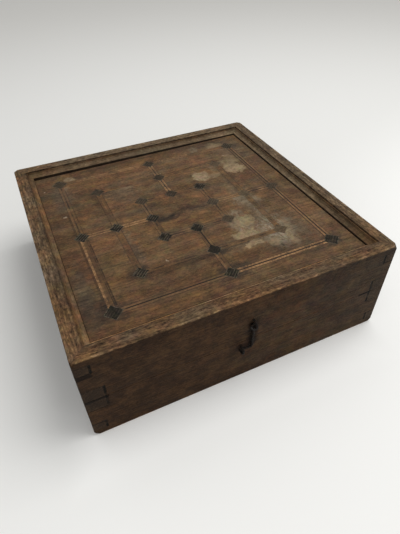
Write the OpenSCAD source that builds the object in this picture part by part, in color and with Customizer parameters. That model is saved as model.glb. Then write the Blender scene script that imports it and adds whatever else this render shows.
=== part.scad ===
// Folding games box: two equal trays of finger-jointed boards, hinged at the
// back, with a nine men's morris board let into the lid, a draughts board let
// into the underside and backgammon points inside both trays.
// Millimetres. +X is the right side, +Y the hinge side, +Z up.
// The origin is the centre of the footprint, on the surface the box stands on.

/* [Case] */
// Width of the closed box, from side to side
case_w = 245; // [228:1:320]
// Depth of the closed box, from front to back, without its ironwork
case_d = 245; // [228:1:320]
// Height of the closed box
case_h = 84; // [80:1:120]
// Thickness of the case boards
board_t = 15; // [13:0.5:17]
// Open line between the two trays when the box is shut
parting_gap = 0.4; // [0.3:0.1:0.8]
// Radius worn on the upright corners
corner_r = 1.5; // [1:0.5:5]
// Radius worn on the outer edge of each rim
arris_r = 0.8; // [0.6:0.2:3]
// How far along its edges each corner of a rim is knocked off
corner_knock = 4; // [2:0.5:6]

/* [Rim moulding] */
// Depth of the game panels below the rims
recess = 5; // [4:0.5:7]
// Width of the moulding along the rim's inner edge
mould_w = 5; // [4:0.5:6]
// Height and width of the small step above the hollow
quirk = 1.2; // [0.6:0.1:1.5]

/* [Corner joints] */
// Height of the mitred part below the moulding
mitre_extra = 1; // [0.6:0.2:2]
// Height of the side boards' pin next to the rim
rim_pin_h = 8; // [7.5:0.5:10]
// Height of the side boards' pin at the parting line
foot_pin_h = 11; // [6:0.5:14]

/* [Panels] */
// Thickness of a game panel
panel_t = 8; // [7:0.5:10]
// Thickness of the tongue round a panel
tongue_t = 4; // [3:0.5:5]
// Length of the tongue in its groove
tongue_l = 4.5; // [3:0.5:5]
// Length of the tongue at the back, left longer because a panel shrinks there
tongue_back_l = 7.5; // [5:0.5:8]
// Depth of the groove in the boards
groove_l = 5; // [4:0.5:6]
// Open line between a panel and the boards where it still fits
panel_gap = 0.3; // [0.1:0.1:0.8]
// Open line along the right side of a panel
panel_gap_side = 1.8; // [0.3:0.1:2]
// Open line along the back, where the panel has shrunk, at its right end
panel_gap_back = 3; // [0.5:0.1:4]
// The same open line at its left end, where the panel has shrunk more
panel_gap_back_left = 5; // [0.5:0.1:5]

/* [Inlay] */
// Depth of all the inlaid pieces
inlay_t = 1.2; // [0.8:0.1:2]
// Half side of the outer morris square
mill_outer = 87.5; // [80:0.5:90]
// Half side of the middle morris square
mill_middle = 59; // [50:0.5:62]
// Half side of the inner morris square
mill_inner = 28; // [24:0.5:32]
// How far the morris board sits in front of the panel's middle
mill_forward = 2.5; // [0:0.5:5]
// Corner to corner size of a point's diamond
diamond_d = 13; // [10:0.5:15]
// Corner to corner size of the outer square's corner diamonds
diamond_corner_d = 14.5; // [12:0.5:16]
// Width of each light string of a line
string_w = 1.8; // [1:0.1:2.4]
// Width of the dark string between them
core_w = 1.1; // [0.6:0.1:1.6]
// Side of one draughts square
square_w = 22; // [20:0.5:22.5]
// Glue line between neighbouring squares
square_gap = 0.1; // [0.1:0.05:0.3]
// Width of the string round the draughts board
border_w = 2; // [1:0.5:3]
// Panel left bare between the draughts board and its border string
border_gap = 1.5; // [1:0.5:2]
// Length of a backgammon point
point_l = 88; // [70:1:94]
// Panel left bare between the points and the walls
point_margin = 2; // [1:0.5:4]
// Panel left bare between two neighbouring points
point_gap = 1; // [0.5:0.5:4]

/* [Latch] */
// Thickness of the wire of the hook and staples
wire_d = 1.8; // [1.4:0.1:2.2]
// Distance between the two legs of a staple
staple_w = 5.6; // [5:0.1:7]
// How far a staple stands out from the front
staple_out = 6; // [5.4:0.1:8]
// Length of a staple's legs in the wood
staple_leg = 11; // [8:0.5:12]
// Height of the hook's pivot above the parting line
pivot_h = 14.5; // [10:0.5:18]
// Length of the hook from its pivot to its tip's path
hook_r = 22; // [20:0.5:26]
// Radius of the bend between the hook's shank and its tip
hook_bend = 2.2; // [1.5:0.1:3]
// Angle between the hanging hook and the catch staple
catch_angle = 24; // [20:1:30]
// Play of the hook's eye on its staple, and of its tip before the catch
latch_play = 0.3; // [0.2:0.05:0.5]

/* [Hinges] */
// Length of a hinge
hinge_l = 32; // [24:1:40]
// Distance from the box's side to the middle of a hinge
hinge_inset = 52; // [35:1:70]
// Width of a hinge leaf on its board
leaf_w = 12; // [9:0.5:12]
// Thickness of a hinge leaf
leaf_t = 1.3; // [1:0.1:1.6]
// Thickness of the hinge pin
pin_d = 2.6; // [2:0.1:3]
// Wall of a knuckle round the pin
knuckle_wall = 1.5; // [1.1:0.1:2]
// Clearance between a knuckle and what it turns past
knuckle_gap = 0.3; // [0.2:0.05:0.5]
// Radial clearance of pins, screws and staple legs in their holes
fit_gap = 0.05; // [0.03:0.01:0.08]
// Head width of a hinge screw
screw_head_d = 4.8; // [4:0.2:5.4]
// Shank thickness of a hinge screw
screw_d = 2.4; // [2:0.1:3]
// Length of a hinge screw
screw_l = 10; // [8:0.5:14]

/* [Hidden] */

oak = [0.36, 0.24, 0.15];
oak_dark = [0.25, 0.17, 0.11];
string_tan = [0.72, 0.5, 0.3];
bog_oak = [0.13, 0.13, 0.14];
iron = [0.16, 0.15, 0.15];

past = 1;       // how far a cutter runs past what it cuts
round_fn = 48;  // segments of every round form

tray_h = (case_h - parting_gap) / 2;
inner_w = case_w - 2 * board_t;
inner_d = case_d - 2 * board_t;

// Heights in a tray, counted from the parting face up to the rim
panel_top = tray_h - recess;
panel_bottom = panel_top - panel_t;
mitre_h = recess + mitre_extra;
rim_pin_top = tray_h - mitre_h;
rim_pin_bottom = rim_pin_top - rim_pin_h;
rim_pin_w = board_t - groove_l;

// The pin axis stands clear of the back by a knuckle and its clearance
pin_r = pin_d / 2;
knuckle_r = pin_r + knuckle_wall;
pin_back = knuckle_r + knuckle_gap;

// The ironwork stands out at both ends, and the origin is the middle of it all
case_y = (staple_out - pin_back - knuckle_r) / 2;

wire_r = wire_d / 2;
staple_straight = staple_out - wire_r - staple_w / 2;
hook_plane = staple_straight - wire_r;

// The hook's tip is drawn a little thinner, and laps into the bend by an angle
tip_drawn = 0.04;
tip_lap = 0.25;

// The catch is a little further out than the hook's tip, to clear both its legs
catch_r = hook_r + 2 * latch_play;
catch_x = catch_r * sin(catch_angle);

// ---- Case boards ----

// Section of a board: x runs inwards from its outer face, y up to its rim
module board_section() {
    difference() {
        square([board_t, tray_h]);
        translate([0, tray_h])
            difference() {
                square(2 * arris_r, center = true);
                translate([arris_r, -arris_r]) circle(arris_r, $fn = round_fn);
                translate([arris_r, -2 * arris_r]) square(2 * arris_r);
            }
        translate([board_t - mould_w, tray_h - quirk]) square([mould_w + past, quirk + past]);
        translate([board_t, tray_h - quirk]) circle(recess - quirk, $fn = round_fn);
    }
}

// A board of the full length, along X, with its outer face on y = 0
module plank(length) {
    rotate([90, 0, 90])
        linear_extrude(length, center = true) board_section();
}

// Cuts off the four corners of the rim, each by a plane that leans equally to its edges
module corner_knocks() {
    for (x = [-1, 1], y = [-1, 1])
        translate([x * case_w / 2, y * case_d / 2, tray_h])
            rotate(atan2(y, x))
                rotate([0, acos(1 / sqrt(3)), 0])
                    translate([0, 0, 2 * corner_knock - corner_knock / sqrt(3)])
                        cube(4 * corner_knock, center = true);
}

// The four upright corners of the case, as one rounded block
module case_block() {
    difference() {
        linear_extrude(case_h, center = true) {
            square([case_w - 2 * corner_r, case_d], center = true);
            square([case_w, case_d - 2 * corner_r], center = true);
            for (x = [-1, 1], y = [-1, 1])
                translate([x * (case_w / 2 - corner_r), y * (case_d / 2 - corner_r)])
                    circle(corner_r, $fn = round_fn);
        }
        corner_knocks();
    }
}

// The groove for a panel's tongue, as one plate through all four boards
module panel_slot() {
    translate([0, 0, panel_bottom + tongue_t / 2])
        cube([inner_w + 2 * groove_l, inner_d + 2 * groove_l, tongue_t + 2 * fit_gap], center = true);
}

// What the mitre takes from the ends of a board near its rim
module mitre_cut(length) {
    translate([0, 0, rim_pin_top])
        linear_extrude(mitre_h + past)
            for (side = [-1, 1])
                polygon([
                    [side * (length / 2 - board_t - past), board_t + past],
                    [side * (length / 2 + past), -past],
                    [side * (length / 2 + past), board_t + past]
                ]);
}

// A block at both ends of a board, as wide as given, between two heights
module end_blocks(length, width, low, high) {
    for (side = [-1, 1])
        translate([side * length / 2, board_t / 2, (low + high) / 2])
            cube([2 * width, board_t + 2 * past, high - low], center = true);
}

// Front or back board: one wide finger at each end, let between the side pins
module finger_board() {
    difference() {
        plank(case_w);
        mitre_cut(case_w);
        end_blocks(case_w, rim_pin_w, rim_pin_bottom, rim_pin_top);
        end_blocks(case_w, board_t, -past, foot_pin_h);
    }
}

// Side board: two pins at each end, the upper one cut thin to hide the groove
module pin_board() {
    difference() {
        plank(case_d);
        mitre_cut(case_d);
        end_blocks(case_d, board_t, foot_pin_h, rim_pin_bottom);
        for (side = [-1, 1])
            translate([side * case_d / 2, rim_pin_w + groove_l, (rim_pin_bottom + rim_pin_top) / 2])
                cube([2 * board_t, 2 * groove_l, rim_pin_h], center = true);
    }
}

module front_board() {
    difference() {
        intersection() {
            translate([0, -case_d / 2, 0]) finger_board();
            case_block();
        }
        panel_slot();
    }
}

module back_board() {
    difference() {
        rotate(180) intersection() {
            translate([0, -case_d / 2, 0]) finger_board();
            case_block();
        }
        panel_slot();
        leaf_pockets();
    }
}

module left_board() {
    difference() {
        intersection() {
            translate([-case_w / 2, 0, 0]) rotate(-90) pin_board();
            case_block();
        }
        panel_slot();
    }
}

module right_board() {
    mirror([1, 0, 0]) left_board();
}

// ---- Game panels ----

// Outline of a panel whose edges stand in from the opening's by these gaps
module panel_outline(left, right, front, back_left, back_right) {
    x = inner_w / 2;
    y = inner_d / 2;
    polygon([[left - x, front - y], [x - right, front - y], [x - right, y - back_right], [left - x, y - back_left]]);
}

// A panel in its tray: a field that fills the opening and a tongue round it
module panel_blank() {
    translate([0, 0, panel_bottom]) {
        linear_extrude(panel_t)
            panel_outline(panel_gap, panel_gap_side, panel_gap, panel_gap_back_left, panel_gap_back);
        linear_extrude(tongue_t)
            panel_outline(-tongue_l, -tongue_l, -tongue_l,
                panel_gap_back_left - tongue_back_l, panel_gap_back - tongue_back_l);
    }
}

// Turns an outline into an inlay that is flush with a panel's outer face
module outer_inlay(extra = 0) {
    translate([0, 0, panel_top - inlay_t])
        linear_extrude(inlay_t + extra) children();
}

// Turns an outline into an inlay that is flush with a panel's inner face
module inner_inlay(extra = 0) {
    translate([0, 0, panel_bottom - extra])
        linear_extrude(inlay_t + extra) children();
}

// The twenty-four points: corners and middles of three squares
module diamonds() {
    for (half = [mill_outer, mill_middle, mill_inner], turn = [0:90:270])
        rotate(turn) {
            size = half == mill_outer ? diamond_corner_d : diamond_d;
            translate([-half, -half]) rotate(45) square(size / sqrt(2), center = true);
            translate([0, -half]) rotate(45) square(diamond_d / sqrt(2), center = true);
        }
}

// Bars along every line of the morris board, beside its middle by offset
module mill_bars(width, offset) {
    for (turn = [0:90:270])
        rotate(turn) {
            for (half = [mill_outer, mill_middle, mill_inner])
                translate([0, -half + offset]) square([2 * half, width], center = true);
            translate([offset, -(mill_outer + mill_inner) / 2])
                square([width, mill_outer - mill_inner], center = true);
        }
}

module mill_light_outline() {
    beside = (core_w + string_w) / 2;
    translate([0, -mill_forward])
        difference() {
            union() {
                mill_bars(string_w, beside);
                mill_bars(string_w, -beside);
            }
            mill_bars(core_w, 0);
            diamonds();
        }
}

module mill_dark_outline() {
    translate([0, -mill_forward])
        difference() {
            mill_bars(core_w, 0);
            diamonds();
        }
}

module mill_outline() {
    translate([0, -mill_forward]) {
        mill_bars(2 * string_w + core_w, 0);
        diamonds();
    }
}

// Every second square of the draughts board, starting dark or light
module squares(start) {
    for (row = [0:7], column = [0:7])
        if ((row + column) % 2 == start)
            translate([(column - 3.5) * square_w, (row - 3.5) * square_w])
                square(square_w - square_gap, center = true);
}

module draughts_border_outline() {
    inside = 8 * square_w + 2 * border_gap;
    difference() {
        square(inside + 2 * border_w, center = true);
        square(inside, center = true);
    }
}

// Six points from each side wall of a tray, every second one of each row
module backgammon_points(start) {
    pitch = (inner_d - 2 * point_margin) / 6;
    for (side = [0, 1], i = [0:5])
        if ((side + i) % 2 == start)
            mirror([side, 0])
                translate([-inner_w / 2 + point_margin, (i - 2.5) * pitch])
                    polygon([
                        [0, -(pitch - point_gap) / 2],
                        [point_l, 0],
                        [0, (pitch - point_gap) / 2]
                    ]);
}

module morris_panel() {
    difference() {
        panel_blank();
        outer_inlay(past) mill_outline();
        inner_inlay(past) {
            backgammon_points(0);
            backgammon_points(1);
        }
    }
}

module draughts_panel() {
    difference() {
        panel_blank();
        outer_inlay(past) {
            square(8 * square_w, center = true);
            draughts_border_outline();
        }
        inner_inlay(past) {
            backgammon_points(0);
            backgammon_points(1);
        }
    }
}

// ---- Latch ----

// A wire staple with its legs in the wood along +Y and its bow towards -Y
module staple() {
    for (leg = [-1, 1])
        translate([0, -staple_straight, leg * staple_w / 2])
            rotate([-90, 0, 0]) cylinder(r = wire_r, h = staple_straight + staple_leg, $fn = round_fn);
    translate([0, -staple_straight, 0])
        rotate([0, -90, 0]) rotate([180, 0, 0])
            rotate_extrude(angle = 180, $fn = round_fn)
                translate([staple_w / 2, 0]) circle(wire_r, $fn = round_fn);
}

module staple_holes() {
    for (leg = [-1, 1])
        translate([0, -past, leg * staple_w / 2])
            rotate([-90, 0, 0])
                cylinder(r = wire_r + fit_gap, h = past + staple_leg + fit_gap, $fn = round_fn);
}

// Puts a staple where the hook hangs: its lower leg is the hook's pivot
module at_hook_staple() {
    translate([0, -case_d / 2, pivot_h + staple_w / 2]) children();
}

// Puts a staple in the path of the hook's tip
module at_catch_staple() {
    translate([-catch_x, -case_d / 2, pivot_h - catch_r * cos(catch_angle)]) children();
}

// Wire bent through an angle, from straight right of its centre, turning left
module wire_bend(radius, angle, thick_r = wire_r) {
    rotate_extrude(angle = angle, $fn = round_fn)
        translate([radius, 0]) circle(thick_r, $fn = round_fn);
}

// The hook hangs from its pivot: eye, shank, bend, and a tip that curves round
module hook() {
    eye_r = wire_d + latch_play;
    tip_reach = catch_x - wire_d - latch_play;
    tip_turn = asin((tip_reach - hook_bend) / hook_r);
    rotate([90, 0, 0]) {
        wire_bend(eye_r, 360);
        translate([0, hook_bend - hook_r, 0])
            rotate([-90, 0, 0])
                cylinder(r = wire_r, h = hook_r - hook_bend - eye_r, $fn = round_fn);
        translate([-hook_bend, hook_bend - hook_r, 0])
            rotate(-90) wire_bend(hook_bend, 90);
        translate([-hook_bend, 0, 0])
            rotate(-90 - tip_turn) {
                wire_bend(hook_r, tip_turn + tip_lap, wire_r - tip_drawn);
                translate([hook_r, 0, 0]) sphere(wire_r, $fn = round_fn);
            }
    }
}

// ---- Hinges ----

// Puts a hinge's parts at its place on the back, with the pin axis as X
module at_hinge(side) {
    translate([side * (case_w / 2 - hinge_inset), case_d / 2 + pin_back, -parting_gap / 2])
        children();
}

module at_screws() {
    for (side = [-1, 1])
        translate([side * hinge_l / 4, -pin_back - leaf_w / 2, parting_gap / 2])
            children();
}

// The room that two leaves take in the parting face of a back board
module leaf_pockets() {
    for (side = [-1, 1])
        at_hinge(side) {
            translate([-hinge_l / 2 - fit_gap, -pin_back - leaf_w - fit_gap, parting_gap / 2 - past])
                cube([hinge_l + 2 * fit_gap, leaf_w + fit_gap + past, leaf_t + fit_gap + past]);
            at_screws() cylinder(d = screw_d + 2 * fit_gap, h = screw_l + fit_gap, $fn = round_fn);
        }
}

// A leaf with its knuckles, centred on the pin axis, plate above z = 0
module leaf(knuckle_places) {
    knuckle_l = (hinge_l - 2 * knuckle_gap) / 3;
    difference() {
        union() {
            translate([-hinge_l / 2, -pin_back - leaf_w, parting_gap / 2])
                cube([hinge_l, leaf_w, leaf_t]);
            for (place = knuckle_places)
                translate([place * (knuckle_l + knuckle_gap), 0, 0]) {
                    rotate([0, 90, 0]) cylinder(r = knuckle_r, h = knuckle_l, center = true, $fn = round_fn);
                    translate([-knuckle_l / 2, -pin_back - leaf_w / 2, parting_gap / 2])
                        cube([knuckle_l, pin_back + leaf_w / 2, leaf_t]);
                }
        }
        rotate([0, 90, 0])
            cylinder(r = pin_r + fit_gap, h = hinge_l + 2 * past, center = true, $fn = round_fn);
        at_screws() screw_body(fit_gap);
    }
}

// A countersunk screw, head down on z = 0 and shank along +Z
module screw_body(grow = 0) {
    sink = (screw_head_d - screw_d) / 2;
    translate([0, 0, -grow])
        cylinder(r1 = screw_head_d / 2 + grow, r2 = screw_d / 2 + grow, h = sink + grow, $fn = round_fn);
    cylinder(r = screw_d / 2 + grow, h = screw_l, $fn = round_fn);
}

module screw() {
    slot_w = screw_head_d / 7;
    difference() {
        screw_body();
        translate([-screw_head_d, -slot_w / 2, -slot_w]) cube([2 * screw_head_d, slot_w, 2 * slot_w]);
    }
}

module pin() {
    rotate([0, 90, 0]) cylinder(r = pin_r, h = hinge_l, center = true, $fn = round_fn);
}

// ---- Putting the trays in place ----

// The lid tray stands on the parting line, and the base tray hangs under it
module in_lid() {
    translate([0, case_y, (case_h + parting_gap) / 2]) children();
}

module in_base() {
    translate([0, case_y, (case_h - parting_gap) / 2]) mirror([0, 0, 1]) children();
}

// Ironwork heights count from the parting line's middle
module on_parting() {
    translate([0, case_y, case_h / 2]) children();
}

module hook_staple_hole() {
    translate([0, 0, -parting_gap / 2]) at_hook_staple() staple_holes();
}

module catch_staple_hole() {
    translate([0, 0, -parting_gap / 2]) mirror([0, 0, 1]) at_catch_staple() staple_holes();
}

module base_front_board() color(oak_dark) in_base() difference() { front_board(); catch_staple_hole(); }
module base_back_board() color(oak_dark) in_base() back_board();
module base_left_board() color(oak) in_base() left_board();
module base_right_board() color(oak) in_base() right_board();
module base_panel() color(oak) in_base() draughts_panel();
module draughts_dark_squares() color(bog_oak) in_base() outer_inlay() squares(0);
module draughts_light_squares() color(string_tan) in_base() outer_inlay() squares(1);
module draughts_border() color(string_tan) in_base() outer_inlay() draughts_border_outline();
module base_dark_points() color(bog_oak) in_base() inner_inlay() backgammon_points(0);
module base_light_points() color(string_tan) in_base() inner_inlay() backgammon_points(1);

module lid_front_board() color(oak_dark) in_lid() difference() { front_board(); hook_staple_hole(); }
module lid_back_board() color(oak_dark) in_lid() back_board();
module lid_left_board() color(oak) in_lid() left_board();
module lid_right_board() color(oak) in_lid() right_board();
module lid_panel() color(oak) in_lid() morris_panel();
module mill_diamonds() color(bog_oak) in_lid() outer_inlay() translate([0, -mill_forward]) diamonds();
module mill_light_strings() color(string_tan) in_lid() outer_inlay() mill_light_outline();
module mill_dark_strings() color(bog_oak) in_lid() outer_inlay() mill_dark_outline();
module lid_dark_points() color(bog_oak) in_lid() inner_inlay() backgammon_points(0);
module lid_light_points() color(string_tan) in_lid() inner_inlay() backgammon_points(1);

module hook_staple() color(iron) on_parting() at_hook_staple() staple();
module catch_staple() color(iron) on_parting() at_catch_staple() staple();
module latch_hook() color(iron) on_parting() translate([0, -case_d / 2 - hook_plane, pivot_h]) hook();

module base_leaf_left() color(iron) in_base() at_hinge(-1) leaf([-1, 1]);
module base_leaf_right() color(iron) in_base() at_hinge(1) leaf([-1, 1]);
module lid_leaf_left() color(iron) in_lid() at_hinge(-1) leaf([0]);
module lid_leaf_right() color(iron) in_lid() at_hinge(1) leaf([0]);
module hinge_pin_left() color(iron) in_lid() at_hinge(-1) pin();
module hinge_pin_right() color(iron) in_lid() at_hinge(1) pin();
module base_hinge_screws() color(iron) in_base() for (side = [-1, 1]) at_hinge(side) at_screws() screw();
module lid_hinge_screws() color(iron) in_lid() for (side = [-1, 1]) at_hinge(side) at_screws() screw();

base_front_board();
base_back_board();
base_left_board();
base_right_board();
base_panel();
draughts_dark_squares();
draughts_light_squares();
draughts_border();
base_dark_points();
base_light_points();
lid_front_board();
lid_back_board();
lid_left_board();
lid_right_board();
lid_panel();
mill_diamonds();
mill_light_strings();
mill_dark_strings();
lid_dark_points();
lid_light_points();
hook_staple();
catch_staple();
latch_hook();
base_leaf_left();
base_leaf_right();
lid_leaf_left();
lid_leaf_right();
hinge_pin_left();
hinge_pin_right();
base_hinge_screws();
lid_hinge_screws();
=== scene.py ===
"""An old folding games box: two oak trays hinged at the back, a mill board let into the lid."""

import math

import bpy
import numpy as np
from mathutils import Euler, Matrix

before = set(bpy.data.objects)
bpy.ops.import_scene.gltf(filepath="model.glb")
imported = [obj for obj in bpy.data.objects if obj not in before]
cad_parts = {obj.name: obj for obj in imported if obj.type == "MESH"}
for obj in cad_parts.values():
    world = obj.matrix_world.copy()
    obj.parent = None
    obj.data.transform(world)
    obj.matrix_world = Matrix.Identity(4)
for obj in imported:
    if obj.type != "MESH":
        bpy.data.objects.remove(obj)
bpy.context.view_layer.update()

# ---------------------------------------------------------------- the camera

camera_eye = (-0.112663, -0.284189, 0.287825)
camera_turn = (0.833588, 0.014687, -0.436917)
camera_lens = 28.8633


def stand_camera():
    """A camera above the front left corner, looking down on the lid."""
    lens = bpy.data.cameras.new("camera")
    lens.lens = camera_lens
    lens.sensor_width = 36.0
    lens.clip_start = 0.01
    lens.clip_end = 50.0
    eye = bpy.data.objects.new("camera", lens)
    eye.location = camera_eye
    eye.rotation_euler = Euler(camera_turn, "XYZ")
    bpy.context.scene.collection.objects.link(eye)
    bpy.context.scene.camera = eye


# ---------------------------------------------------------------- mixing finishes


class Finish:
    """One finish being mixed. Each method adds a step and hands back what the step gives.
    mm is the place on the piece in millimetres, and x, y, z are its three parts."""

    def __init__(self, name):
        self.material = bpy.data.materials.new(name)
        self.material.use_nodes = True
        self.tree = self.material.node_tree
        self.tree.nodes.clear()
        self.skin = self.add("ShaderNodeBsdfPrincipled")
        out = self.add("ShaderNodeOutputMaterial")
        self.tree.links.new(self.skin.outputs[0], out.inputs[0])
        place = self.add("ShaderNodeTexCoord").outputs["Object"]
        self.mm = self.scaled(place, 1000.0)
        self.x, self.y, self.z = self.parts(self.mm)
        self.bent = self.mm
        self.rag = 0.0

    def add(self, kind, **settings):
        node = self.tree.nodes.new(kind)
        for key, value in settings.items():
            setattr(node, key, value)
        return node

    def feed(self, socket, value):
        if isinstance(value, bpy.types.NodeSocket):
            self.tree.links.new(value, socket)
        elif isinstance(value, (tuple, list)) and len(value) == 3 and len(socket.default_value) == 4:
            socket.default_value = (*value, 1.0)
        else:
            socket.default_value = value

    def sum(self, kind, *values, clamp=False):
        node = self.add("ShaderNodeMath", operation=kind, use_clamp=clamp)
        for socket, value in zip(node.inputs, values):
            self.feed(socket, value)
        return node.outputs[0]

    def plus(self, a, b):
        return self.sum("ADD", a, b)

    def minus(self, a, b):
        return self.sum("SUBTRACT", a, b)

    def times(self, a, b):
        return self.sum("MULTIPLY", a, b)

    def size(self, a):
        return self.sum("ABSOLUTE", a)

    def least(self, *values):
        out = values[0]
        for value in values[1:]:
            out = self.sum("MINIMUM", out, value)
        return out

    def most(self, *values):
        return self.most_of(values)

    def most_of(self, values):
        """The highest of a series, each one made only when it is compared."""
        out = None
        for value in values:
            out = value if out is None else self.sum("MAXIMUM", out, value)
        return out

    def sum_of(self, values):
        """The sum of a series, each one made only when it is added."""
        out = 0.0
        for value in values:
            out = self.plus(out, value)
        return out

    def scaled(self, vector, by):
        node = self.add("ShaderNodeVectorMath", operation="MULTIPLY")
        self.feed(node.inputs[0], vector)
        self.feed(node.inputs[1], by if isinstance(by, tuple) else (by,) * 3)
        return node.outputs[0]

    def moved(self, vector, by):
        node = self.add("ShaderNodeVectorMath", operation="ADD")
        self.feed(node.inputs[0], vector)
        self.feed(node.inputs[1], by)
        return node.outputs[0]

    def parts(self, vector):
        node = self.add("ShaderNodeSeparateXYZ")
        self.feed(node.inputs[0], vector)
        return node.outputs[0], node.outputs[1], node.outputs[2]

    def joined(self, a, b, c):
        node = self.add("ShaderNodeCombineXYZ")
        for socket, value in zip(node.inputs, (a, b, c)):
            self.feed(socket, value)
        return node.outputs[0]

    def fade(self, value, start, end, low=0.0, high=1.0):
        """Smooth step: low up to start, high from end on (start may be above end)."""
        node = self.add("ShaderNodeMapRange", interpolation_type="SMOOTHSTEP")
        flip = start > end
        if flip:
            start, end, low, high = end, start, high, low
        for name, given in (
            ("Value", value),
            ("From Min", start),
            ("From Max", end),
            ("To Min", low),
            ("To Max", high),
        ):
            self.feed(node.inputs[name], given)
        return node.outputs[0]

    def noise(self, at, scale, detail=3.0, rough=0.55, warp=0.0):
        """Cloudy noise about 0.5; scale is cells per millimetre, one number or one per axis."""
        if isinstance(scale, tuple):
            at, scale = self.scaled(at, scale), 1.0
        node = self.add("ShaderNodeTexNoise")
        self.feed(node.inputs["Vector"], at)
        self.feed(node.inputs["Scale"], scale)
        self.feed(node.inputs["Detail"], detail)
        self.feed(node.inputs["Roughness"], rough)
        self.feed(node.inputs["Distortion"], warp)
        return node.outputs[0]

    def hues(self, at, scale, detail=4.0, rough=0.65):
        """Three noises at once, each about 0.5, as one colour."""
        if isinstance(scale, tuple):
            at, scale = self.scaled(at, scale), 1.0
        return self.noise(at, scale, detail, rough).node.outputs["Color"]

    def tinted(self, colour, scale, by, detail=4.0):
        """Pulls red, green and blue apart a little, each by its own noise."""
        node = self.add("ShaderNodeVectorMath", operation="MULTIPLY_ADD")
        self.feed(node.inputs[0], self.hues(self.mm, scale, detail))
        self.feed(node.inputs[1], (by,) * 3)
        self.feed(node.inputs[2], (1.0 - by / 2,) * 3)
        product = self.add("ShaderNodeVectorMath", operation="MULTIPLY")
        self.feed(product.inputs[0], colour)
        self.feed(product.inputs[1], node.outputs[0])
        return product.outputs[0]

    def fused(self, vector, by, add):
        """vector times by plus add, part by part."""
        node = self.add("ShaderNodeVectorMath", operation="MULTIPLY_ADD")
        for socket, value in zip(node.inputs, (vector, by, add)):
            self.feed(socket, value)
        return node.outputs[0]

    def bend(self, by, scale, rag=0.22):
        """Bends the place that spots are set by, so that their edges wander, and sets the
        finer raggedness of those edges."""
        shift = self.fused(self.hues(self.mm, scale), (by,) * 3, (-by / 2,) * 3)
        self.bent = self.moved(self.mm, shift)
        self.rag = self.minus(self.noise(self.mm, rag, 5.0, 0.7), 0.5)

    def blend(self, share, first, second, how="MIX"):
        node = self.add("ShaderNodeMix", data_type="RGBA", blend_type=how, clamp_factor=True)
        self.feed(node.inputs[0], share)
        self.feed(node.inputs[6], first)
        self.feed(node.inputs[7], second)
        return node.outputs[2]

    def scale_of(self, value, stops):
        """A scale of colours; stops are (place, linear colour)."""
        node = self.add("ShaderNodeValToRGB")
        band = node.color_ramp
        while len(band.elements) < len(stops):
            band.elements.new(0.5)
        for element, (place, colour) in zip(band.elements, stops):
            element.position = place
            element.color = (*colour, 1.0)
        self.feed(node.inputs[0], value)
        return node.outputs[0]

    def wait_for(self, value):
        """Moves the spots that follow by a millionth of value, only so that they are mixed
        after it: a long finish has no room for all its spots at once."""
        self.bent = self.fused(self.joined(value, value, 0.0), (1e-6,) * 3, self.bent)

    def spot(self, cx, cy, rx, ry, soft=0.35, ragged=0.0):
        """1 inside an ellipse about (cx, cy) and 0 outside, soft and ragged at its edge."""
        node = self.add("ShaderNodeVectorMath", operation="LENGTH")
        flat = self.fused(self.bent, (1.0 / rx, 1.0 / ry, 0.0), (-cx / rx, -cy / ry, 0.0))
        self.feed(node.inputs[0], flat)
        far = node.outputs["Value"]
        if ragged:
            far = self.plus(far, self.times(self.rag, ragged))
        return self.fade(far, 1.0 + soft / 2, 1.0 - soft / 2)

    def window(self, x0, x1, y0, y1, soft=2.0, at=None):
        """1 inside a rectangle and 0 outside it, soft over that many millimetres."""
        node = self.add("ShaderNodeVectorMath", operation="ABSOLUTE")
        self.feed(node.inputs[0], self.moved(at or self.mm, (-(x0 + x1) / 2, -(y0 + y1) / 2, 0.0)))
        half = (-abs(x1 - x0) / 2, -abs(y1 - y0) / 2, 0.0)
        across, up, _ = self.parts(self.moved(node.outputs[0], half))
        return self.fade(self.most(across, up), soft / 2, -soft / 2)

    def line(self, value, at, wide):
        """1 where value is at the given height, fading to 0 at half the width from it."""
        return self.fade(self.size(self.minus(value, at)), wide / 2, wide / 5)

    def between(self, value, low, high, soft=0.3):
        return self.fade(
            self.minus(self.size(self.minus(value, (low + high) / 2)), (high - low) / 2), soft, -soft
        )

    def finish(self, colour, rough, height=None, deep=0.3, **fixed):
        """Joins colour, roughness and relief to the skin; deep is the relief in millimetres."""
        self.feed(self.skin.inputs["Base Color"], colour)
        self.feed(self.skin.inputs["Roughness"], rough)
        if height is not None:
            bump = self.add("ShaderNodeBump")
            self.feed(bump.inputs["Strength"], 1.0)
            self.feed(bump.inputs["Distance"], deep / 1000.0)
            self.feed(bump.inputs["Height"], height)
            self.feed(self.skin.inputs["Normal"], bump.outputs[0])
        for name, value in fixed.items():
            self.skin.inputs[name.replace("_", " ")].default_value = value
        return self.material


# ---------------------------------------------------------------- sizes, in millimetres

rim_top = 84.0  # the top of the shut box above the floor
parting = 42.0  # where the two trays meet
case_half = 122.5  # from the middle of the box to its outside
rim_half = 112.5  # to the inside of the rim's flat, where the moulding starts
inner_half = 107.5  # to the boards' inner faces
thin_half = 112.5  # to the inner end of the thin fingers that hide the grooves
mitre_foot = 6.0  # the foot of the mitre, below the top of the rim
thin_foot = 14.0  # the foot of the thin fingers
foot_top = 30.8  # the top of the fingers at the parting
mill_steps = (87.5, 59.0, 28.0)  # half widths of the mill's three squares, outermost first
mill_forward = 2.5  # how far the mill lies in front of the lid's middle
diamond_half = 6.5  # from a diamond's middle to its tip
diamond_corner_more = 0.75  # how much further the tips of the four corner diamonds reach

# ---------------------------------------------------------------- marks on the lid

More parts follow.
